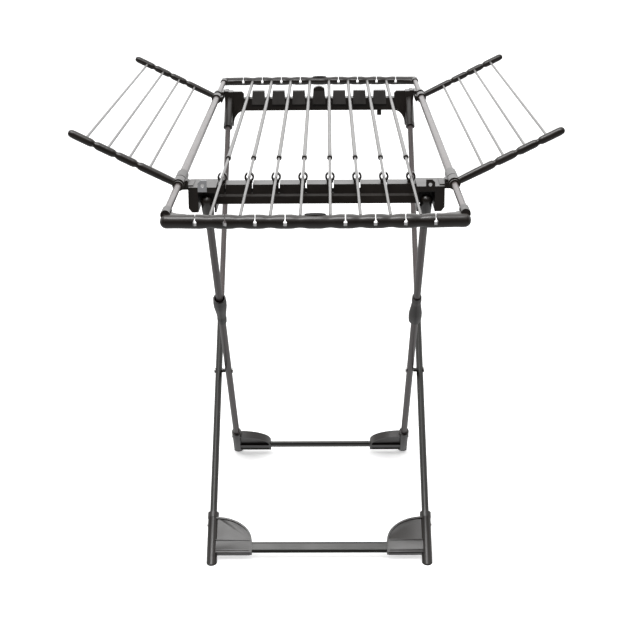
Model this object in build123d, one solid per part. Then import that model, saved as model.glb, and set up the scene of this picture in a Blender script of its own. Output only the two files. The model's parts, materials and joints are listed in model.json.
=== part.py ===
from build123d import *
import math
import os

# Free-standing folding clothes airer with sliding end frames and two hinged wings.
# Frame: origin on the floor under the middle of the airer, +Z up, -Y is the front.

# ---- rod grid and table ----
PITCH = 57.5
ROD_COUNT = 8
ROD_Z = 960.0
THIN_ROD_R = 3.0
TUBE_ROD_R = 4.5
TUBE_ROD_BORE_R = 4.0
COLLAR_BORE_R = 3.06
THIN_ROD_BORE_R = 2.3
COLLAR_R = 6.0
COLLAR_LENGTH = 12.0
COLLAR_Y = -309.0
THIN_ROD_END_Y = 60.0

# ---- end bars ----
BAR_Y = 876.0
FRONT_END_Z = 947.5
REAR_END_Z = 957.5
BAR_HALF_X = 280.0
BAR_RY = 13.5
FRONT_END_RZ = 14.0
REAR_END_RZ = 12.2
BAR_NECK = 0.86
BAR_STATIONS = 40
SLOT_WIDTH = 7.0
SLOT_HEIGHT = 12.0
SLIT_WIDTH = 2.2

# ---- side rails and extension tubes ----
RAIL_X = 287.0
RAIL_R = 9.0
RAIL_BORE_R = 8.1
BUSH_BORE_R = 7.08
BUSH_DEPTH = 22.0
RAIL_MID_Y = -23.0
RAIL_HALF = 589.0
RAIL_REAR_END = 612.0
EXT_TUBE_R = 7.0
EXT_TUBE_BORE_R = 6.0
EXT_FRONT_IN_Y = -400.0
EXT_REAR_IN_Y = 350.0

# ---- wings ----
WING_ANGLE = 26.4
WING_ARM_Y = 574.0
WING_ROD_R = 2.8
WING_ROD_BORE_R = 2.1
WING_ROD_AT = (69.0, 116.0, 165.0, 214.0)
WING_TIP = 251.0
ARM_HALF_WIDTH = 8.7
ARM_NOTCH_WIDTH = 6.3
ARM_NOTCH_AT = (94.5, 143.0, 192.0)
RING_R = 13.0
RING_BORE_R = 9.08
RING_WIDTH = 22.0

# ---- legs ----
OUTER_X = 257.0
OUTER_FOOT_Y = -418.0
OUTER_TOP = (600.0, 940.0)
INNER_X = 232.0
INNER_FOOT_Y = 290.0
INNER_TOP = (-560.0, 915.0)
LEG_R = 8.5
LEG_BORE_R = 7.3
OUTER_UPPER_R = 7.25
OUTER_JOINT_T = 690.0
INNER_JOINT_T = 790.0
PIN_R = 3.0
PIN_BORE_R = 3.05
PAD_THICKNESS = 3.0
WEB_BOTTOM = 20.0

# ---- crossbars ----
FRONT_BAR_Y0 = -548.0
FRONT_BAR_Y1 = -488.0
FRONT_BAR_TOP = 945.0
FRONT_BAR_BOTTOM = 906.0
FRONT_BAR_HALF_X = 211.0
GUIDE_R = 10.4
GUIDE_MOUTH = 3.6
GUIDE_BORE_R = 6.6
REAR_BAR_Y0 = 600.0
REAR_BAR_Y1 = 632.0
REAR_BAR_TOP = 949.0
REAR_BAR_BOTTOM = 914.0
REAR_BAR_HALF_X = 214.0
HINGE_Y = 638.0

ROD_X = [PITCH * (i - (ROD_COUNT - 1) / 2) for i in range(ROD_COUNT)]
SLOT_X = [PITCH * i for i in (-4, -3, -2, -1, 1, 2, 3, 4)]


def block(x0, x1, y0, y1, z0, z1):
    centre = Pos((x0 + x1) / 2, (y0 + y1) / 2, (z0 + z1) / 2)
    return centre * Box(abs(x1 - x0), abs(y1 - y0), abs(z1 - z0))


def rod(p, q, radius, bore=0.0):
    start = Vector(*p)
    run = Vector(*q) - start
    plane = Plane(origin=start, z_dir=run.normalized())
    solid = extrude(plane * Circle(radius), run.length)
    if bore > 0:
        solid = solid - extrude(plane * Circle(bore), run.length)
    return solid


def along_y(x, y0, y1, z, radius, bore=0.0):
    return rod((x, y0, z), (x, y1, z), radius, bore)


def along_x(x0, x1, y, z, radius, bore=0.0):
    return rod((x0, y, z), (x1, y, z), radius, bore)


def mirrored(shape):
    return mirror(shape, about=Plane.YZ)


def front_to_rear(shape, y):
    return mirror(shape, about=Plane(origin=(0, y, 0), z_dir=(0, 1, 0)))


def save(name, *shapes):
    solids = [s for shape in shapes for s in shape.solids()]
    body = solids[0] if len(solids) == 1 else Compound(children=solids)
    export_step(body, f"parts/{name}.step")


def save_pair(name, left):
    save(name + "_left", left)
    save(name + "_right", mirrored(left))


def leg_plane(foot_y, top):
    # Local X is the airer's X, local Y runs up the leg, local Z is the leg frame's normal.
    run = Vector(0, top[0] - foot_y, top[1]).normalized()
    return Plane(origin=(0, foot_y, 0), x_dir=(1, 0, 0), z_dir=(0, -run.Z, run.Y))


OUTER = leg_plane(OUTER_FOOT_Y, OUTER_TOP)
INNER = leg_plane(INNER_FOOT_Y, INNER_TOP)
OUTER_LENGTH = math.hypot(OUTER_TOP[0] - OUTER_FOOT_Y, OUTER_TOP[1])
INNER_LENGTH = math.hypot(INNER_TOP[0] - INNER_FOOT_Y, INNER_TOP[1])


def crossing():
    outer_run = (OUTER_TOP[0] - OUTER_FOOT_Y) / OUTER_TOP[1]
    inner_run = (INNER_TOP[0] - INNER_FOOT_Y) / INNER_TOP[1]
    z = (INNER_FOOT_Y - OUTER_FOOT_Y) / (outer_run - inner_run)
    return OUTER_FOOT_Y + outer_run * z, z


PIVOT_Y, PIVOT_Z = crossing()


def in_leg(plane, shape):
    return plane.location * shape


def leg_tube(plane, x, t0, t1, radius, bore=0.0):
    return in_leg(plane, rod((x, t0, 0), (x, t1, 0), radius, bore))


def wavy_section(x, centre_y, centre_z, ry, rz):
    return Plane(origin=(x, centre_y, centre_z), x_dir=(0, 1, 0), z_dir=(1, 0, 0)) * Ellipse(ry, rz)


# ---- end bars: a moulding that swells round each hanger slot and narrows where a rod enters ----
def bar_size(x):
    if abs(x) > 4 * PITCH:
        return 1.0 - 0.03 * min(1.0, (abs(x) - 4 * PITCH) / 30.0)
    dip = (1 - math.cos(2 * math.pi * x / PITCH)) / 2
    return 1.0 - (1 - BAR_NECK) * dip ** 3


def bar_centre_y(x):
    return -BAR_Y - 6.0 * (1 - (x / BAR_HALF_X) ** 2) + 3.0


def end_bar(bar_z, bar_rz):
    sections = []
    for i in range(BAR_STATIONS + 1):
        x = 5 * PITCH * (2 * i / BAR_STATIONS - 1)
        size = bar_size(x)
        sections.append(wavy_section(x, bar_centre_y(x), bar_z, BAR_RY * size, bar_rz * size))
    bar = loft(sections)
    for side in (-1, 1):
        knuckle = Pos(side * (RAIL_X - 1), bar_centre_y(RAIL_X), bar_z) * scale(Sphere(1), by=(11.5, 12.9, bar_rz * 0.955))
        neck = along_y(side * RAIL_X, -BAR_Y + 3.0, -BAR_Y + 44.0, ROD_Z, 9.6)
        web_points = [(side * 284, -BAR_Y + 38), (side * 284, -BAR_Y), (side * 236, -BAR_Y)]
        web_points += [(side * 252, -BAR_Y + 14), (side * 266, -BAR_Y + 18), (side * 274, -BAR_Y + 26)]
        web = Pos(0, 0, bar_z - 5) * extrude(make_face(Polyline(web_points, close=True)), 965 - bar_z)
        bar = bar + knuckle + neck + web
        bar = bar - along_y(side * RAIL_X, -BAR_Y + 12.0, -BAR_Y + 50.0, ROD_Z, EXT_TUBE_R + 0.02)
    for x in SLOT_X:
        hole = block(x - SLOT_WIDTH / 2, x + SLOT_WIDTH / 2, -900, -850, bar_z - SLOT_HEIGHT / 2, bar_z + 1.0)
        round_top = rod((x, -900, bar_z + 1.0), (x, -850, bar_z + 1.0), SLOT_WIDTH / 2)
        slit = block(x - SLIT_WIDTH / 2, x + SLIT_WIDTH / 2, -900, -850, bar_z, bar_z + 20)
        bar = bar - hole - round_top - slit
    for x in ROD_X:
        bar = bar - along_y(x, -BAR_Y - 1.0, -850, ROD_Z - 2.5, THIN_ROD_R + 0.02)
    return bar


def finger_grip(bar_top):
    grip = Pos(0, -BAR_Y - 2.0, bar_top) * scale(Sphere(1), by=(21.0, 7.0, 2.6))
    return grip


# The rods sit a little below the rail axis where they enter the bars.
ROD_AXIS_Z = ROD_Z - 2.5

os.makedirs("parts", exist_ok=True)

front_bar = end_bar(FRONT_END_Z, FRONT_END_RZ)
grip = finger_grip(FRONT_END_Z + FRONT_END_RZ)
save("front_bar", front_bar - grip)
save("front_grip_pad", grip)
rear_bar_blank = front_to_rear(end_bar(REAR_END_Z, REAR_END_RZ), 0)
for x in ROD_X:
    rear_bar_blank = rear_bar_blank - along_y(x, 850, BAR_Y + 1.0, ROD_AXIS_Z, TUBE_ROD_R + 0.02)
rear_grip = front_to_rear(finger_grip(REAR_END_Z + REAR_END_RZ), 0)
save("rear_bar", rear_bar_blank - rear_grip)
save("rear_grip_pad", rear_grip)

front_tube = along_y(-RAIL_X, -BAR_Y + 12.0, EXT_FRONT_IN_Y, ROD_Z, EXT_TUBE_R, EXT_TUBE_BORE_R)
rear_tube = along_y(-RAIL_X, EXT_REAR_IN_Y, BAR_Y - 12.0, ROD_Z, EXT_TUBE_R, EXT_TUBE_BORE_R)
save_pair("front_extension_tube", front_tube)
save_pair("rear_extension_tube", rear_tube)

thin_rods = [along_y(x, -BAR_Y - 1.0, THIN_ROD_END_Y, ROD_AXIS_Z, THIN_ROD_R, THIN_ROD_BORE_R) for x in ROD_X]
save("front_rods", *thin_rods)
rod_tubes = [along_y(x, COLLAR_Y, BAR_Y + 1.0, ROD_AXIS_Z, TUBE_ROD_R, TUBE_ROD_BORE_R) for x in ROD_X]
save("rear_rod_tubes", *rod_tubes)


def rod_collar(x):
    sleeve = along_y(x, COLLAR_Y - 4.0, COLLAR_Y + COLLAR_LENGTH, ROD_AXIS_Z, COLLAR_R, COLLAR_BORE_R)
    return sleeve - along_y(x, COLLAR_Y, COLLAR_Y + COLLAR_LENGTH, ROD_AXIS_Z, TUBE_ROD_R + 0.02)


save("rod_collars", *[rod_collar(x) for x in ROD_X])

# ---- side rails with end bushes and stop collars ----
RAIL_Y0 = RAIL_MID_Y - RAIL_HALF
RAIL_Y1 = RAIL_REAR_END
save_pair("side_rail", along_y(-RAIL_X, RAIL_Y0, RAIL_Y1, ROD_Z, RAIL_R, RAIL_BORE_R))
front_bush = along_y(-RAIL_X, RAIL_Y0 - 5.0, RAIL_Y0, ROD_Z, 11.0)
front_bush = front_bush + along_y(-RAIL_X, RAIL_Y0 - 2.0, RAIL_Y0 + BUSH_DEPTH, ROD_Z, RAIL_BORE_R - 0.02)
front_bush = front_bush - along_y(-RAIL_X, RAIL_Y0 - 9.0, RAIL_Y0 + BUSH_DEPTH + 9.0, ROD_Z, BUSH_BORE_R)
rear_bush = along_y(-RAIL_X, RAIL_Y1, RAIL_Y1 + 5.0, ROD_Z, 11.0)
rear_bush = rear_bush + along_y(-RAIL_X, RAIL_Y1 - BUSH_DEPTH, RAIL_Y1 + 2.0, ROD_Z, RAIL_BORE_R - 0.02)
rear_bush = rear_bush - along_y(-RAIL_X, RAIL_Y1 - BUSH_DEPTH - 9.0, RAIL_Y1 + 9.0, ROD_Z, BUSH_BORE_R)
left_bushes = [front_bush, rear_bush]
save("rail_end_bushes", *left_bushes, *[mirrored(b) for b in left_bushes])

ARM_Y = RAIL_MID_Y - WING_ARM_Y


def sector(x, z, r0, r1, a0, a1, y0, y1):
    steps = 8
    angles = [math.radians(a0 + (a1 - a0) * i / steps) for i in range(steps + 1)]
    outer = [(x + r1 * math.cos(a), z + r1 * math.sin(a)) for a in angles]
    inner = [(x + r0 * math.cos(a), z + r0 * math.sin(a)) for a in reversed(angles)]
    points = [(px, y0, pz) for px, pz in outer + inner]
    face = make_face(Polyline(points, close=True))
    return extrude(face, amount=y1 - y0, dir=(0, 1, 0))


def stop_collar():
    collar = along_y(-RAIL_X, ARM_Y + 14.3, ARM_Y + 30.0, ROD_Z, 13.0, RAIL_R + 0.01)
    tab = sector(-RAIL_X, ROD_Z, 13.4, 19.0, -4, 22, ARM_Y + 8.2, ARM_Y + 30.0)
    root = sector(-RAIL_X, ROD_Z, 12.0, 15.0, -4, 22, ARM_Y + 14.3, ARM_Y + 30.0)
    return collar + root + tab


left_collars = [stop_collar(), front_to_rear(stop_collar(), RAIL_MID_Y)]
save("rail_stop_collars", *left_collars, *[mirrored(c) for c in left_collars])


# ---- wings: built flat along local X from the rail axis, then tilted up ----
def arm_section(u, half_y, half_w):
    return Plane(origin=(u, 0, 0), x_dir=(0, 1, 0), z_dir=(1, 0, 0)) * Ellipse(half_y, half_w)


def wing_arm():
    stations = [(8.0, 7.6), (24.0, 8.2), (60.0, ARM_HALF_WIDTH)]
    for notch in ARM_NOTCH_AT:
        for offset, depth in ((-10.0, 0.0), (-6.0, 0.2), (-3.5, 0.62), (-1.3, 1.0)):
            stations.append((notch + offset, ARM_HALF_WIDTH - depth * (ARM_HALF_WIDTH - ARM_NOTCH_WIDTH)))
        for offset, depth in ((1.3, 1.0), (3.5, 0.62), (6.0, 0.2), (10.0, 0.0)):
            stations.append((notch + offset, ARM_HALF_WIDTH - depth * (ARM_HALF_WIDTH - ARM_NOTCH_WIDTH)))
    stations += [(WING_TIP - 12.0, 8.7), (WING_TIP - 7.0, 8.1), (WING_TIP - 3.5, 6.8), (WING_TIP - 1.2, 4.9),
                 (WING_TIP, 2.6)]
    arm = loft([arm_section(u, 7.6 * min(1.0, w / 8.0), w) for u, w in stations], ruled=True)
    ring = Rot(90, 0, 0) * extrude(Circle(RING_R), RING_WIDTH)
    ring = Pos(0, 14.0, 0) * ring
    bore = Rot(90, 0, 0) * extrude(Circle(RING_BORE_R), 60)
    mouth = block(-6.0, 6.0, -30, 30, -30, -4)
    tail = sector(0, 0, 12.0, 19.0, 162, 201, 8.4, 13.9)
    arm = arm + ring + tail - Pos(0, 30, 0) * bore
    arm = arm - Rot(0, 180 - WING_ANGLE, 0) * mouth
    for u in WING_ROD_AT:
        arm = arm - rod((u, -2.0, 0), (u, 30, 0), WING_ROD_R + 0.02)
    return arm


def place_wing(shape):
    # Turned to point left and up from the left rail.
    turned = Rot(0, -180 + WING_ANGLE, 0) * shape
    return Pos(-RAIL_X, 0, ROD_Z) * turned


arm_flat = wing_arm()
left_arm_front = Pos(0, ARM_Y, 0) * place_wing(arm_flat)
left_arm_rear = front_to_rear(left_arm_front, RAIL_MID_Y)
wing_rod_y0 = ARM_Y - 2.0
wing_rod_y1 = 2 * RAIL_MID_Y - wing_rod_y0
wing_rods = [rod((u, wing_rod_y0, 0), (u, wing_rod_y1, 0), WING_ROD_R, WING_ROD_BORE_R) for u in WING_ROD_AT]
left_wing_rods = [place_wing(r) for r in wing_rods]
save("left_wing_front_arm", left_arm_front)
save("left_wing_rear_arm", left_arm_rear)
save("left_wing_rods", *left_wing_rods)
save("right_wing_front_arm", mirrored(left_arm_front))
save("right_wing_rear_arm", mirrored(left_arm_rear))
save("right_wing_rods", *[mirrored(r) for r in left_wing_rods])


# ---- feet: a leg socket with a quarter-round web to the foot bar ----
def raw_foot(inner_x, leg_x, height, bar_t):
    # The web stops short of the floor; only the round end of the leg socket stands on it.
    socket = rod((leg_x, -40, 0), (leg_x, height, 0), 12.5) + rod((leg_x, height - 14, 0), (leg_x, height, 0), 13.4)
    reach_x = inner_x - leg_x - 8
    reach_t = height - 14 - bar_t
    angles = [math.radians(a) for a in range(0, 91, 6)]
    arc = [(leg_x + 8 + reach_x * math.sin(a), bar_t + reach_t * math.cos(a)) for a in angles]
    inset = [(leg_x + 8 + (reach_x - 4) * math.sin(a), bar_t + (reach_t - 4) * math.cos(a)) for a in angles]
    outline = [(leg_x, WEB_BOTTOM), (leg_x, height - 14)] + arc + [(inner_x, WEB_BOTTOM + 5), (inner_x - 5, WEB_BOTTOM)]
    web = Pos(0, 0, -6) * extrude(make_face(Polyline(outline, close=True)), 12)
    rim_face = make_face(Polyline(arc + list(reversed(inset)), close=True))
    rim = Pos(0, 0, -10) * extrude(rim_face, 20)
    boss = block(leg_x, inner_x, bar_t - 30, bar_t + 3, -9, 9)
    ribs = [block(leg_x + 8, inner_x - 6, t - 1.2, t + 1.2, -11, 11) for t in (bar_t + 1.5, bar_t - 24)]
    foot_body = socket + web + rim + boss
    for rib in ribs:
        foot_body = foot_body + rib
    return foot_body


def foot(plane, foot_x, inner_x, height, bar_t, bar_cut):
    leg_x = -foot_x
    local = raw_foot(inner_x, leg_x, height, bar_t) - rod((leg_x, 18, 0), (leg_x, height + 5, 0), LEG_R + 0.02)
    local = local - bar_cut
    body = in_leg(plane, local) & block(-400, 400, -800, 800, PAD_THICKNESS, 400)
    tip = in_leg(plane, rod((leg_x, -40, 0), (leg_x, 30, 0), 12.5))
    return body, tip & block(-400, 400, -800, 800, 0, PAD_THICKNESS)


def oval_bar(half, depth, height, t):
    flat = height - depth
    core = block(-half, half, t - flat / 2, t + flat / 2, -depth / 2, depth / 2)
    low = rod((-half, t - flat / 2, 0), (half, t - flat / 2, 0), depth / 2)
    high = rod((-half, t + flat / 2, 0), (half, t + flat / 2, 0), depth / 2)
    return core + low + high


def foot_screw(plane, leg_x, t):
    head = rod((-leg_x - 14.0, t, 0), (-leg_x - 11.5, t, 0), 3.8)
    shank = rod((-leg_x - 11.5, t, 0), (-leg_x - LEG_BORE_R + 2.0, t, 0), 1.6)
    slot = block(-leg_x - 14.5, -leg_x - 13.2, t - 3, t + 3, -0.5, 0.5)
    return in_leg(plane, head - slot + shank)


FRONT_BAR_T = 38.0
REAR_BAR_T = 34.0
front_foot_bar = oval_bar(OUTER_X - 72.0, 12.0, 27.0, FRONT_BAR_T)
rear_foot_bar = oval_bar(INNER_X - 72.0, 12.0, 22.0, REAR_BAR_T)
front_foot, front_pad = foot(OUTER, OUTER_X, -162.0, 127.0, FRONT_BAR_T + 14, front_foot_bar)
rear_foot, rear_pad = foot(INNER, INNER_X, -139.0, 115.0, REAR_BAR_T + 12, rear_foot_bar)
front_screw = foot_screw(OUTER, OUTER_X, 96.0)
rear_screw = foot_screw(INNER, INNER_X, 86.0)
front_screw_hole = in_leg(OUTER, rod((-OUTER_X - 14, 96, 0), (-OUTER_X, 96, 0), 1.62) + rod((-OUTER_X - 14, 96, 0), (-OUTER_X - 11.5, 96, 0), 3.82))
rear_screw_hole = in_leg(INNER, rod((-INNER_X - 14, 86, 0), (-INNER_X, 86, 0), 1.62) + rod((-INNER_X - 14, 86, 0), (-INNER_X - 11.5, 86, 0), 3.82))
save("front_foot_screws", front_screw, mirrored(front_screw))
save("rear_foot_screws", rear_screw, mirrored(rear_screw))
save_pair("front_foot", front_foot - front_screw_hole)
save_pair("rear_foot", rear_foot - rear_screw_hole)
save("front_foot_bar", in_leg(OUTER, front_foot_bar))
save("rear_foot_bar", in_leg(INNER, rear_foot_bar))
save("front_foot_pads", front_pad, mirrored(front_pad))
save("rear_foot_pads", rear_pad, mirrored(rear_pad))

# ---- leg tubes and the scissor pivots ----
pivot_hole = along_x(-300, -200, PIVOT_Y, PIVOT_Z, PIN_R + 0.01)
pivot_bore = along_x(-300, -200, PIVOT_Y, PIVOT_Z, PIN_BORE_R)
outer_lower = leg_tube(OUTER, -OUTER_X, 18, OUTER_JOINT_T, LEG_R, LEG_BORE_R) - pivot_hole - front_screw_hole
outer_upper = leg_tube(OUTER, -OUTER_X, OUTER_JOINT_T - 60, OUTER_LENGTH - 6, OUTER_UPPER_R, OUTER_UPPER_R - 1.2)
save_pair("outer_leg_lower", outer_lower)
save_pair("outer_leg_upper", outer_upper)
inner_lower = leg_tube(INNER, -INNER_X, 18, INNER_JOINT_T, LEG_R, LEG_BORE_R) - pivot_bore - rear_screw_hole
save_pair("inner_leg_lower", inner_lower)
save_pair("inner_leg_upper", leg_tube(INNER, -INNER_X, INNER_JOINT_T + 4, INNER_LENGTH - 31, LEG_R, LEG_BORE_R))


def leg_joiner(way):
    # A cup that clamps one tube and narrows to a collar on the other; way is 1 for mouth up.
    x = -INNER_X
    points = [(LEG_R + 0.02, -56), (11.0, -56), (11.6, -40), (10.8, -28), (13.2, -4), (15.6, 18),
              (15.9, 34), (15.0, 52), (11.5, 52), (11.2, 30), (LEG_R + 0.02, 24)]
    outline = [(x + r, INNER_JOINT_T + 2 + way * t, 0) for r, t in points]
    shell = revolve(make_face(Polyline(outline, close=True)), axis=Axis((x, 0, 0), (0, 1, 0)))
    web = rod((x, INNER_JOINT_T + 0.3, 0), (x, INNER_JOINT_T + 3.7, 0), LEG_R + 0.5)
    return in_leg(INNER, shell + web)


save("leg_joiner_left", leg_joiner(1))
save("leg_joiner_right", mirrored(leg_joiner(-1)))
ferrule = leg_tube(OUTER, -OUTER_X, OUTER_JOINT_T, OUTER_JOINT_T + 22, 9.3, OUTER_UPPER_R + 0.01)
save("outer_leg_ferrules", ferrule, mirrored(ferrule))


def pivot_pin():
    shank = along_x(-OUTER_X - LEG_R - 1.0, -INNER_X + LEG_R + 1.0, PIVOT_Y, PIVOT_Z, PIN_R)
    outer_head = along_x(-OUTER_X - LEG_R - 3.0, -OUTER_X - LEG_R - 0.02, PIVOT_Y, PIVOT_Z, 6.5)
    inner_head = along_x(-INNER_X + LEG_R + 0.3, -INNER_X + LEG_R + 2.8, PIVOT_Y, PIVOT_Z, 6.5)
    return shank + outer_head + inner_head


pin = pivot_pin()
spacer = along_x(-OUTER_X + LEG_R, -INNER_X - LEG_R - 0.3, PIVOT_Y, PIVOT_Z, 5.2, PIN_R + 0.02)
save("leg_pivot_rivets", pin, mirrored(pin))
save("leg_pivot_spacers", spacer, mirrored(spacer))

# ---- rear crossbar: a beam with upright blocks between the rods ----
rear_beam = block(-REAR_BAR_HALF_X, REAR_BAR_HALF_X, REAR_BAR_Y0, REAR_BAR_Y1, REAR_BAR_BOTTOM, REAR_BAR_TOP)


def castle_block(x, top, half_base, half_top):
    corners = [(x - half_base, REAR_BAR_BOTTOM + 18), (x + half_base, REAR_BAR_BOTTOM + 18),
               (x + half_top, top), (x - half_top, top)]
    face = make_face(Polyline([(px, REAR_BAR_Y0 - 8, pz) for px, pz in corners], close=True))
    tapered = extrude(face, amount=REAR_BAR_Y1 - REAR_BAR_Y0, dir=(0, 1, 0))
    lean = [(REAR_BAR_Y0 - 6, REAR_BAR_BOTTOM + 17), (REAR_BAR_Y0 + 5, top + 1), (REAR_BAR_Y1 - 8, top + 1),
            (REAR_BAR_Y1 - 8, REAR_BAR_BOTTOM + 17)]
    lean_face = make_face(Polyline([(x - 30, py, pz) for py, pz in lean], close=True))
    return tapered & extrude(lean_face, amount=60, dir=(1, 0, 0))


for i in range(ROD_COUNT - 1):
    x = PITCH * (i - (ROD_COUNT - 2) / 2)
    middle = abs(x) < 1
    rear_beam = rear_beam + castle_block(x, 976.0 if middle else 969.0, 19.0, 15.5 if middle else 17.0)
dome = rod((0, REAR_BAR_Y0 + 2, 962), (0, REAR_BAR_Y1 - 10, 962), 20.0) & block(-14, 14, 500, 700, 970, 990)
rear_beam = rear_beam + dome
rear_beam = rear_beam - block(-REAR_BAR_HALF_X + 3, REAR_BAR_HALF_X - 3, REAR_BAR_Y0 + 3, REAR_BAR_Y1 - 3,
                              REAR_BAR_BOTTOM - 1, REAR_BAR_TOP - 3)
knob_bore = rod((172, 614, REAR_BAR_BOTTOM - 5), (172, 614, REAR_BAR_TOP - 10), 4.06)
knob_boss = rod((172, 614, REAR_BAR_BOTTOM), (172, 614, REAR_BAR_TOP - 3), 7.0)
save("rear_crossbar", rear_beam + knob_boss - knob_bore)
knob_stem = rod((172, 614, REAR_BAR_BOTTOM - 4), (172, 614, REAR_BAR_TOP - 11), 4.0)
knob_grip = rod((172, 614, REAR_BAR_BOTTOM - 16), (172, 614, REAR_BAR_BOTTOM - 0.5), 6.5)
knob_wing = block(168, 176, 602, 626, REAR_BAR_BOTTOM - 15, REAR_BAR_BOTTOM - 3)
save("transport_lock_knob", knob_stem + knob_grip + knob_wing)


# ---- rear end brackets: leg sleeve, curved gusset and hinge cheek ----
def rear_end_bracket():
    sleeve = leg_tube(OUTER, -OUTER_X, OUTER_LENGTH - 92, OUTER_LENGTH + 6, 11.6)
    lip = leg_tube(OUTER, -OUTER_X, OUTER_LENGTH - 92, OUTER_LENGTH - 80, 12.6)
    body = block(-268.5, -245, 598, 634, 926, 968)
    edge = -REAR_BAR_HALF_X
    curve = [(edge - 31 * math.cos(math.radians(a)), 870 + 44 * math.sin(math.radians(a))) for a in range(0, 91, 10)]
    outline = [(-256, 870)] + curve + [(edge, 962), (edge - 6, 968), (-256, 968)]
    plate = extrude(make_face(Polyline([(px, 602, pz) for px, pz in outline], close=True)), amount=12, dir=(0, 1, 0))
    rim_outline = curve + [(px - 4, pz + 4) for px, pz in reversed(curve)]
    rim_face = make_face(Polyline([(px, 596, pz) for px, pz in rim_outline], close=True))
    rim = extrude(rim_face, amount=24, dir=(0, 1, 0)) & block(-300, edge, 500, 700, 800, 1000)
    cheek = block(-268.5, -258, 598, 646, 944, 970)
    bracket = sleeve + lip + body + plate + rim + cheek
    bracket = bracket - leg_tube(OUTER, -OUTER_X, OUTER_LENGTH - 100, OUTER_LENGTH - 6, OUTER_UPPER_R + 0.02)
    return bracket - along_x(-280, -256, HINGE_Y, ROD_Z, 4.01)


save_pair("rear_end_bracket", rear_end_bracket())
hinge_pin = along_x(-276.5, -256, HINGE_Y, ROD_Z, 4.0)
save("table_hinge_pins", hinge_pin, mirrored(hinge_pin))


def hinge_bracket():
    rail_ring = along_y(-RAIL_X, 584, 607, ROD_Z, 13.0)
    arm = block(-276, -270.2, 584, HINGE_Y, ROD_Z - 10, ROD_Z + 10)
    eye = along_x(-276, -270.2, HINGE_Y, ROD_Z, 10)
    bracket = rail_ring + arm + eye - along_y(-RAIL_X, 570, 650, ROD_Z, RAIL_R + 0.01)
    return bracket - along_x(-290, -260, HINGE_Y, ROD_Z, 4.05)


save_pair("table_hinge_bracket", hinge_bracket())

# ---- front crossbar: an inverted channel with a recessed upper face, sliding under the rods ----
outer_profile = [
    (FRONT_BAR_Y1, FRONT_BAR_TOP), (FRONT_BAR_Y0 + 14, FRONT_BAR_TOP), (FRONT_BAR_Y0 + 12, 925),
    (FRONT_BAR_Y0 + 2, 922), (FRONT_BAR_Y0, FRONT_BAR_BOTTOM), (FRONT_BAR_Y0 + 3, FRONT_BAR_BOTTOM),
    (FRONT_BAR_Y0 + 5, 919), (FRONT_BAR_Y0 + 15, 922), (FRONT_BAR_Y0 + 17, FRONT_BAR_TOP - 3),
    (FRONT_BAR_Y1 - 3, FRONT_BAR_TOP - 3), (FRONT_BAR_Y1 - 3, FRONT_BAR_BOTTOM), (FRONT_BAR_Y1, FRONT_BAR_BOTTOM),
]
beam_face = make_face(Polyline([(-FRONT_BAR_HALF_X, y, z) for y, z in outer_profile], close=True))
front_beam = extrude(beam_face, amount=2 * FRONT_BAR_HALF_X, dir=(1, 0, 0))
for x in ROD_X[:-1]:
    front_beam = front_beam - block(x + 4.5, x + 8.0, FRONT_BAR_Y0 - 2, FRONT_BAR_Y1 + 2, 927, 950)
save("front_crossbar", front_beam)


def rod_guide(x):
    ring = along_y(x, -520, -506, ROD_AXIS_Z, GUIDE_R)
    post = block(x - 7, x + 7, -520, -506, FRONT_BAR_TOP, ROD_AXIS_Z)
    fork = ring + post - along_y(x, -530, -500, ROD_AXIS_Z, GUIDE_BORE_R)
    mouth = block(x - GUIDE_MOUTH, x + GUIDE_MOUTH, -530, -500, ROD_AXIS_Z, ROD_AXIS_Z + 20)
    return fork - mouth - block(x - 20, x + 20, -530, -500, FRONT_BAR_TOP - 20, FRONT_BAR_TOP)


save("rod_guides", *[rod_guide(x) for x in ROD_X])


# ---- sliding housings at the ends of the front crossbar ----
def carriage_housing():
    tapered = [(-270, 948), (-FRONT_BAR_HALF_X, 948), (-FRONT_BAR_HALF_X, 894), (-263, 894), (-270, 903)]
    skirt = extrude(make_face(Polyline([(px, -574, pz) for px, pz in tapered], close=True)), amount=86, dir=(0, 1, 0))
    cavity = block(-249, -215, -600, -491, 860, 936)
    side_hollow = block(-266, -252, -571, -491, 918, 944)
    runner = along_y(-RAIL_X, -560, -500, ROD_Z, 12.5)
    arm = block(-286, -260, -560, -500, 940, 950)
    housing = skirt - side_hollow + runner + arm
    return housing - cavity - along_y(-RAIL_X, -600, -480, ROD_Z, RAIL_R + 0.08)


save_pair("carriage_housing", carriage_housing())


# ---- latch plates standing at the front of the housings ----
LATCH_Y = -577.5
LATCH_Z = 942.5


def latch_plate():
    outline = [(-249, 939.5), (-230, 939.5), (-230, 964), (-243, 964), (-249, 958)]
    face = make_face(Polyline([(px, LATCH_Y - 3.5, pz) for px, pz in outline], close=True))
    plate = extrude(face, amount=2, dir=(0, 1, 0))
    barrel = along_x(-244, -235, LATCH_Y, LATCH_Z, 2.6)
    hole = rod((-239, LATCH_Y - 9, 953), (-239, LATCH_Y + 9, 953), 3.8)
    return plate + barrel - hole - along_x(-260, -220, LATCH_Y, LATCH_Z, 1.55)


def latch_mount():
    ears = block(-248.0, -244.4, LATCH_Y - 1.1, LATCH_Y + 3.5, 941.7, 946)
    ears = ears + block(-234.6, -231.0, LATCH_Y - 1.1, LATCH_Y + 3.5, 941.7, 946)
    return ears + along_x(-248.0, -231.0, LATCH_Y, LATCH_Z, 1.4)


save_pair("latch_plate", latch_plate())
save("latch_hinges", latch_mount(), mirrored(latch_mount()))


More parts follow.
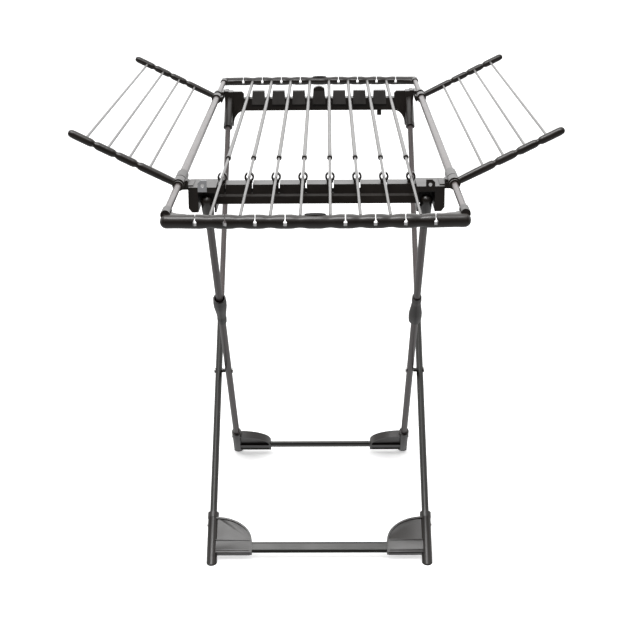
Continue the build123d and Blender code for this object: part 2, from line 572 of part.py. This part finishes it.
# ---- caps on the tops of the inner legs ----
def inner_cap():
    points = [(LEG_R + 0.02, -92), (10.0, -92), (10.6, -86), (13.0, -22), (13.0, 6), (11.5, 14), (6.5, 18.5), (0, 20),
              (0, -24), (LEG_R + 0.02, -24)]
    outline = [(-INNER_X + r, INNER_LENGTH - 6 + t, 0) for r, t in points]
    return in_leg(INNER, revolve(make_face(Polyline(outline, close=True)), axis=Axis((-INNER_X, 0, 0), (0, 1, 0))))


save_pair("inner_leg_cap", inner_cap())


print("outer leg", round(OUTER_LENGTH, 1), "inner leg", round(INNER_LENGTH, 1))
print("pivot", round(PIVOT_Y, 2), round(PIVOT_Z, 2))
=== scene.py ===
import json
import math

import bmesh
import bpy
from mathutils import Matrix, Vector


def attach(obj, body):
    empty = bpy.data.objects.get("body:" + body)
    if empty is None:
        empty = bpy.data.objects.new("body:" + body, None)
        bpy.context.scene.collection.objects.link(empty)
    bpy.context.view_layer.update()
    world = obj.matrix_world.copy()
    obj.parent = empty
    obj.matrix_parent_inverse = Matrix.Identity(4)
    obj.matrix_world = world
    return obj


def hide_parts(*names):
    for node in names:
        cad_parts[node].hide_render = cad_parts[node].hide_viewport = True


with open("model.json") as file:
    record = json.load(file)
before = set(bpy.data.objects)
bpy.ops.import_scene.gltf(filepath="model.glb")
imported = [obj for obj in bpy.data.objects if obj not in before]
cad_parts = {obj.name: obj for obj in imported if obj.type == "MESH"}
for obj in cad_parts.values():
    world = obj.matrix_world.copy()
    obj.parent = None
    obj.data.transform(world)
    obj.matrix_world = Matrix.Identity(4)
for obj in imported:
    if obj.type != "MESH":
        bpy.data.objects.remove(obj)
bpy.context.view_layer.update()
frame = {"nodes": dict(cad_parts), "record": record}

# The scene of a folding clothes airer: its materials, the softened edges of its mouldings, and a plain
# pale studio. Lengths are in metres unless a name says otherwise.
NODES = frame["nodes"]
SLOT_OF = {part["node"]: part["material_slot"] for part in frame["record"]["subparts"]}
BODY_OF = {node: body for body, nodes in frame["record"]["behaviour"]["bodies"].items() for node in nodes}

# What the finishes have in common. Scales are in noise cells per metre, a noise has its detail and
# roughness, and a band is the stretch of noise values over which an effect rises from none to full.
PATCH_SCALE = 14.0
PATCH_NOISE = (4.0, 0.6)
PATCH_BAND = (0.3, 0.7)
GRAIN_NOISE = (2.0, 0.5)
SPECK_TO_GRAIN = 0.35
SPECK_NOISE = (3.0, 0.6)
SPECK_BAND = (0.62, 0.80)
SPECK_STRENGTH = 0.35
SCUFF_SCALE = 60.0
SCUFF_NOISE = (4.0, 0.65)
SCUFF_BAND = (0.40, 0.62)
SCUFF_STRENGTH = 0.75
ROUGHNESS_BAND = (0.25, 0.75)
WEAR_RADIUS = 0.0008
WEAR_START = 0.995
WEAR_FULL = 0.90
COAT_ROUGHNESS = 0.25
BEVEL_SAMPLES = 4

# Mesh clean-up before the edges are rounded, and the angles that stay sharp.
WELD_DISTANCE = 1e-6
FLAT_ANGLE = math.radians(1.2)
EDGE_ANGLE = math.radians(38.0)
EDGE_SEGMENTS = 2
SHADE_ANGLE = math.radians(35)
MM = 0.001

WHITE = (1.0, 1.0, 1.0, 1.0)

# The paper floor.
FLOOR_REACH = 60.0
FLOOR_TONES = ((0.84, 0.84, 0.84), (0.86, 0.86, 0.86))
FLOOR_SCALE = 3.0
FLOOR_NOISE = (3.0, 0.55)
FLOOR_ROUGHNESS = 0.9
FLOOR_SPECULAR = 0.1
FLOOR_GLOW = 0.42

# The light that comes from all round, by direction: Y points away from the camera and Z points up. A band
# is the stretch of a direction's Y or Z over which one strength turns into the other.
DARK_SIDE = 0.05
BRIGHT_SIDE = 1.6
SIDE_BAND = (-0.35, 0.75)
OVERHEAD = 1.0
OVERHEAD_BAND = (0.35, 0.95)
LOWER_HALF = 0.12
HORIZON_BAND = (-0.35, 0.10)
FLOOR_LIGHT = 0.55
FLOOR_BAND = (-0.80, -0.10)

# The softbox above and in front of the airer.
SOFTBOX_PLACE = (-0.6, -1.9, 3.7)
SOFTBOX_TARGET = (0.0, 0.0, 0.7)
SOFTBOX_WIDTH = 2.4
SOFTBOX_DEPTH = 0.9
SOFTBOX_WATTS = 80.0

# The camera stands in front of the airer, a little above it. Its angles are in radians.
CAMERA_PLACE = Vector((0.0244, -3.6599, 1.6241))
CAMERA_PITCH = 0.2976
CAMERA_YAW = 0.0129
CAMERA_ROLL = -0.0082
SENSOR_MM = 36.0
LENS_MM = 87.0271
CAMERA_REACH = 200.0


# ---------------------------------------------------------------- shader building blocks
def new_material(name):
    material = bpy.data.materials.new(name)
    material.use_nodes = True
    tree = material.node_tree
    tree.nodes.clear()
    output = tree.nodes.new("ShaderNodeOutputMaterial")
    shader = tree.nodes.new("ShaderNodeBsdfPrincipled")
    tree.links.new(shader.outputs["BSDF"], output.inputs["Surface"])
    coords = tree.nodes.new("ShaderNodeTexCoord")
    return material, tree, shader, coords


def noise(tree, coords, scale, detail, rough, stretch=None):
    texture = tree.nodes.new("ShaderNodeTexNoise")
    texture.inputs["Scale"].default_value = scale
    texture.inputs["Detail"].default_value = detail
    texture.inputs["Roughness"].default_value = rough
    position = coords.outputs["Object"]
    if stretch:
        mapping = tree.nodes.new("ShaderNodeMapping")
        mapping.inputs["Scale"].default_value = stretch
        tree.links.new(position, mapping.inputs["Vector"])
        position = mapping.outputs["Vector"]
    tree.links.new(position, texture.inputs["Vector"])
    return texture.outputs["Fac"]


def ramp(tree, source, low, high, at_low, at_high):
    node = tree.nodes.new("ShaderNodeMapRange")
    node.inputs["From Min"].default_value = low
    node.inputs["From Max"].default_value = high
    node.inputs["To Min"].default_value = at_low
    node.inputs["To Max"].default_value = at_high
    tree.links.new(source, node.inputs["Value"])
    return node.outputs["Result"]


def combine(tree, operation, first, second):
    node = tree.nodes.new("ShaderNodeMath")
    node.operation = operation
    tree.links.new(first, node.inputs[0])
    tree.links.new(second, node.inputs[1])
    return node.outputs["Value"]


def mix_colour(tree, factor, first, second, under=None):
    # The colour under the second one is either the plain first colour or an earlier mix.
    node = tree.nodes.new("ShaderNodeMix")
    node.data_type = "RGBA"
    node.inputs["A"].default_value = (*first, 1.0)
    node.inputs["B"].default_value = (*second, 1.0)
    if under is not None:
        tree.links.new(under, node.inputs["A"])
    tree.links.new(factor, node.inputs["Factor"])
    return node.outputs["Result"]


def edge_mask(tree):
    # Is 1 where the surface turns sharply within the wear radius.
    bevel = tree.nodes.new("ShaderNodeBevel")
    bevel.samples = BEVEL_SAMPLES
    bevel.inputs["Radius"].default_value = WEAR_RADIUS
    geometry = tree.nodes.new("ShaderNodeNewGeometry")
    dot = tree.nodes.new("ShaderNodeVectorMath")
    dot.operation = "DOT_PRODUCT"
    tree.links.new(bevel.outputs["Normal"], dot.inputs[0])
    tree.links.new(geometry.outputs["Normal"], dot.inputs[1])
    return ramp(tree, dot.outputs["Value"], WEAR_START, WEAR_FULL, 0.0, 1.0)


def add_bump(tree, shader, height, depth, strength):
    node = tree.nodes.new("ShaderNodeBump")
    node.inputs["Strength"].default_value = strength
    node.inputs["Distance"].default_value = depth
    tree.links.new(height, node.inputs["Height"])
    tree.links.new(node.outputs["Normal"], shader.inputs["Normal"])


def finish_material(name, dark, light, wear, rough, metallic, grain, grain_depth, grain_strength,
                    coat=0.0, specular=0.5, stretch=None):
    # A finish with broad tone changes, fine specks, worn edges and a grained surface.
    material, tree, shader, coords = new_material(name)
    patches = noise(tree, coords, PATCH_SCALE, *PATCH_NOISE)
    fine = noise(tree, coords, grain, *GRAIN_NOISE, stretch)
    colour = mix_colour(tree, ramp(tree, patches, *PATCH_BAND, 0.0, 1.0), dark, light)
    specks = noise(tree, coords, grain * SPECK_TO_GRAIN, *SPECK_NOISE)
    colour = mix_colour(tree, ramp(tree, specks, *SPECK_BAND, 0.0, SPECK_STRENGTH), dark, light, colour)
    edges = edge_mask(tree)
    scuffs = ramp(tree, noise(tree, coords, SCUFF_SCALE, *SCUFF_NOISE), *SCUFF_BAND, 0.0, SCUFF_STRENGTH)
    colour = mix_colour(tree, combine(tree, "MULTIPLY", edges, scuffs), dark, wear, colour)
    tree.links.new(colour, shader.inputs["Base Color"])
    tree.links.new(ramp(tree, patches, *ROUGHNESS_BAND, *rough), shader.inputs["Roughness"])
    shader.inputs["Metallic"].default_value = metallic
    shader.inputs["Specular IOR Level"].default_value = specular
    if coat:
        shader.inputs["Coat Weight"].default_value = coat
        shader.inputs["Coat Roughness"].default_value = COAT_ROUGHNESS
    add_bump(tree, shader, fine, grain_depth, grain_strength)
    return material


# ---------------------------------------------------------------- materials
# Each finish has a dark and a light tone, the tone of its worn edges, its least and most roughness, and
# the fineness, depth and strength of its grain.
FINISHES = {
    # Lacquered tube of the rails, the pull-out tubes, the inner legs and the upper half of the outer legs.
    "taupe_tube": dict(
        dark=(0.064, 0.051, 0.050), light=(0.092, 0.075, 0.073), wear=(0.20, 0.175, 0.17),
        rough=(0.28, 0.38), metallic=0.20, grain=900, grain_depth=0.00006, grain_strength=0.25, coat=0.25),
    # Lacquered tube of the lower half of the outer legs and of the foot bars.
    "dark_tube": dict(
        dark=(0.0115, 0.0110, 0.0088), light=(0.0180, 0.0172, 0.0145), wear=(0.09, 0.088, 0.082),
        rough=(0.28, 0.38), metallic=0.15, grain=900, grain_depth=0.00006, grain_strength=0.25, coat=0.15),
    # Painted rods that the laundry hangs on.
    "grey_rod": dict(
        dark=(0.058, 0.053, 0.050), light=(0.086, 0.079, 0.075), wear=(0.26, 0.25, 0.24),
        rough=(0.26, 0.36), metallic=0.35, grain=1100, grain_depth=0.00004, grain_strength=0.2, coat=0.2),
    # Satin mouldings.
    "black_plastic": dict(
        dark=(0.0105, 0.0078, 0.0062), light=(0.0180, 0.0140, 0.0115), wear=(0.060, 0.051, 0.045),
        rough=(0.28, 0.38), metallic=0.0, grain=1500, grain_depth=0.00006, grain_strength=0.25,
        specular=0.6),
    # Soft finger grips on the end bars.
    "grip_pad": dict(
        dark=(0.006, 0.006, 0.006), light=(0.011, 0.011, 0.011), wear=(0.03, 0.03, 0.03),
        rough=(0.62, 0.75), metallic=0.0, grain=1300, grain_depth=0.0001, grain_strength=0.5),
    # Rubber under the feet.
    "rubber_pad": dict(
        dark=(0.012, 0.012, 0.012), light=(0.022, 0.021, 0.020), wear=(0.05, 0.05, 0.05),
        rough=(0.7, 0.85), metallic=0.0, grain=1200, grain_depth=0.00012, grain_strength=0.5),
    # Rivets, pins and screws.
    "steel": dict(
        dark=(0.36, 0.35, 0.34), light=(0.48, 0.47, 0.46), wear=(0.62, 0.61, 0.60),
        rough=(0.24, 0.36), metallic=0.95, grain=700, grain_depth=0.00004, grain_strength=0.3,
        stretch=(1.0, 6.0, 1.0)),
    # The left latch plate only. The right latch plate is the same silver plate, but it lies in shade, so
    # it is left out of this finish and drawn dark: a painted shade.
    "silver_plate": dict(
        dark=(0.46, 0.465, 0.48), light=(0.56, 0.565, 0.58), wear=(0.7, 0.7, 0.72),
        rough=(0.28, 0.38), metallic=0.45, grain=900, grain_depth=0.00005, grain_strength=0.25, coat=0.2),
}
MATERIALS = {name: finish_material(name, **finish) for name, finish in FINISHES.items()}


# ---------------------------------------------------------------- pieces
def paint(mesh, node):
    mesh.materials.clear()
    mesh.materials.append(MATERIALS[SLOT_OF[node]])


def shade_smooth(mesh, sharp_angle):
    for face in mesh.polygons:
        face.use_smooth = True
    mesh.set_sharp_from_angle(angle=sharp_angle)


def softened(node, width_mm):
    # A copy of the CAD piece with its hard edges rounded, shown in the CAD piece's place.
    mesh = NODES[node].data.copy()
    mesh.name = node + "_moulding"
    cleaned = bmesh.new()
    cleaned.from_mesh(mesh)
    bmesh.ops.remove_doubles(cleaned, verts=cleaned.verts, dist=WELD_DISTANCE)
    bmesh.ops.dissolve_limit(cleaned, angle_limit=FLAT_ANGLE, verts=cleaned.verts, edges=cleaned.edges)
    cleaned.to_mesh(mesh)
    cleaned.free()
    piece = bpy.data.objects.new(node + "_moulding", mesh)
    bpy.context.scene.collection.objects.link(piece)
    rounding = piece.modifiers.new("edge", "BEVEL")
    rounding.width = width_mm * MM
    rounding.segments = EDGE_SEGMENTS
    rounding.limit_method = "ANGLE"
    rounding.angle_limit = EDGE_ANGLE
    rounding.use_clamp_overlap = True
    rounding.harden_normals = True
    shade_smooth(mesh, EDGE_ANGLE)
    paint(mesh, node)
    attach(piece, BODY_OF[node])
    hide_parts(node)


# Edge rounding of the mouldings, in millimetres. The pieces not listed are shown as CAD made them.
EDGE_MM = {
    "front_foot_left": 0.9,
    "front_foot_right": 0.9,
    "rear_foot_left": 0.9,
    "rear_foot_right": 0.9,
    "outer_leg_ferrules": 0.6,
    "leg_joiner_left": 0.7,
    "leg_joiner_right": 0.7,
    "inner_leg_cap_left": 0.7,
    "inner_leg_cap_right": 0.7,
    "rear_crossbar": 1.0,
    "transport_lock_knob": 0.7,
    "table_hinge_bracket_left": 0.8,
    "table_hinge_bracket_right": 0.8,
    "rail_end_bushes": 0.8,
    "rail_stop_collars": 0.6,
    "carriage_housing_left": 1.2,
    "carriage_housing_right": 1.2,
    "rod_guides": 0.8,
    "latch_plate_left": 0.5,
    "latch_plate_right": 0.5,
    "front_bar": 0.6,
    "rear_bar": 0.6,
    "rear_end_bracket_left": 1.0,
    "rear_end_bracket_right": 1.0,
    "rod_collars": 0.5,
    "left_wing_front_arm": 0.8,
    "left_wing_rear_arm": 0.8,
    "right_wing_front_arm": 0.8,
    "right_wing_rear_arm": 0.8,
}


def make_pieces():
    for node in sorted(NODES):
        if node in EDGE_MM:
            softened(node, EDGE_MM[node])
        else:
            paint(NODES[node].data, node)
            shade_smooth(NODES[node].data, SHADE_ANGLE)


# ---------------------------------------------------------------- studio
def make_floor():
    reach = FLOOR_REACH
    mesh = bpy.data.meshes.new("floor")
    corners = [(-reach, -reach, 0), (reach, -reach, 0), (reach, reach, 0), (-reach, reach, 0)]
    mesh.from_pydata(corners, [], [(0, 1, 2, 3)])
    floor = bpy.data.objects.new("floor", mesh)
    bpy.context.scene.collection.objects.link(floor)
    material, tree, shader, coords = new_material("floor_paper")
    patches = noise(tree, coords, FLOOR_SCALE, *FLOOR_NOISE)
    tree.links.new(mix_colour(tree, patches, *FLOOR_TONES), shader.inputs["Base Color"])
    shader.inputs["Roughness"].default_value = FLOOR_ROUGHNESS
    shader.inputs["Specular IOR Level"].default_value = FLOOR_SPECULAR
    shader.inputs["Emission Color"].default_value = WHITE
    shader.inputs["Emission Strength"].default_value = FLOOR_GLOW
    mesh.materials.append(material)
    # The world's own floor light stands in for what the white paper would throw back.
    floor.visible_diffuse = False
    floor.visible_glossy = False


def make_softbox():
    data = bpy.data.lights.new("front_softbox", "AREA")
    data.shape = "RECTANGLE"
    data.size = SOFTBOX_WIDTH
    data.size_y = SOFTBOX_DEPTH
    data.energy = SOFTBOX_WATTS
    lamp = bpy.data.objects.new("front_softbox", data)
    bpy.context.scene.collection.objects.link(lamp)
    aim = Vector(SOFTBOX_TARGET) - Vector(SOFTBOX_PLACE)
    lamp.location = SOFTBOX_PLACE
    lamp.rotation_euler = aim.to_track_quat("-Z", "Y").to_euler()


def make_world():
    # A studio that is bright behind the airer and overhead, dark behind the camera, and softly lit from
    # the floor. The camera itself sees plain white.
    world = bpy.data.worlds.new("studio")
    world.use_nodes = True
    tree = world.node_tree
    background = tree.nodes["Background"]
    coords = tree.nodes.new("ShaderNodeTexCoord")
    split = tree.nodes.new("ShaderNodeSeparateXYZ")
    tree.links.new(coords.outputs["Generated"], split.inputs["Vector"])
    behind = ramp(tree, split.outputs["Y"], *SIDE_BAND, DARK_SIDE, BRIGHT_SIDE)
    above = ramp(tree, split.outputs["Z"], *OVERHEAD_BAND, 0.0, OVERHEAD)
    upper_half = ramp(tree, split.outputs["Z"], *HORIZON_BAND, LOWER_HALF, 1.0)
    below = ramp(tree, split.outputs["Z"], *FLOOR_BAND, FLOOR_LIGHT, 0.0)
    walls = combine(tree, "MULTIPLY", behind, upper_half)
    light = combine(tree, "ADD", combine(tree, "ADD", walls, above), below)
    path = tree.nodes.new("ShaderNodeLightPath")
    shown = combine(tree, "MAXIMUM", light, path.outputs["Is Camera Ray"])
    tree.links.new(shown, background.inputs["Strength"])
    background.inputs["Color"].default_value = WHITE
    bpy.context.scene.world = world


def make_camera():
    yaw, pitch, roll = CAMERA_YAW, CAMERA_PITCH, CAMERA_ROLL
    right = Vector((math.cos(yaw), math.sin(yaw), 0.0))
    ahead = Vector((-math.sin(yaw) * math.cos(pitch), math.cos(yaw) * math.cos(pitch), -math.sin(pitch)))
    up = right.cross(ahead)
    turned_right = right * math.cos(roll) + up * math.sin(roll)
    turned_up = up * math.cos(roll) - right * math.sin(roll)
    rotation = Matrix((turned_right, turned_up, -ahead)).transposed()
    data = bpy.data.cameras.new("camera")
    data.sensor_width = SENSOR_MM
    data.lens = LENS_MM
    data.clip_end = CAMERA_REACH
    camera = bpy.data.objects.new("camera", data)
    bpy.context.scene.collection.objects.link(camera)
    camera.matrix_world = Matrix.Translation(CAMERA_PLACE) @ rotation.to_4x4()
    bpy.context.scene.camera = camera


make_pieces()
make_floor()
make_world()
make_camera()
make_softbox()
bpy.context.scene.view_settings.view_transform = "Standard"
bpy.context.scene.view_settings.look = "None"
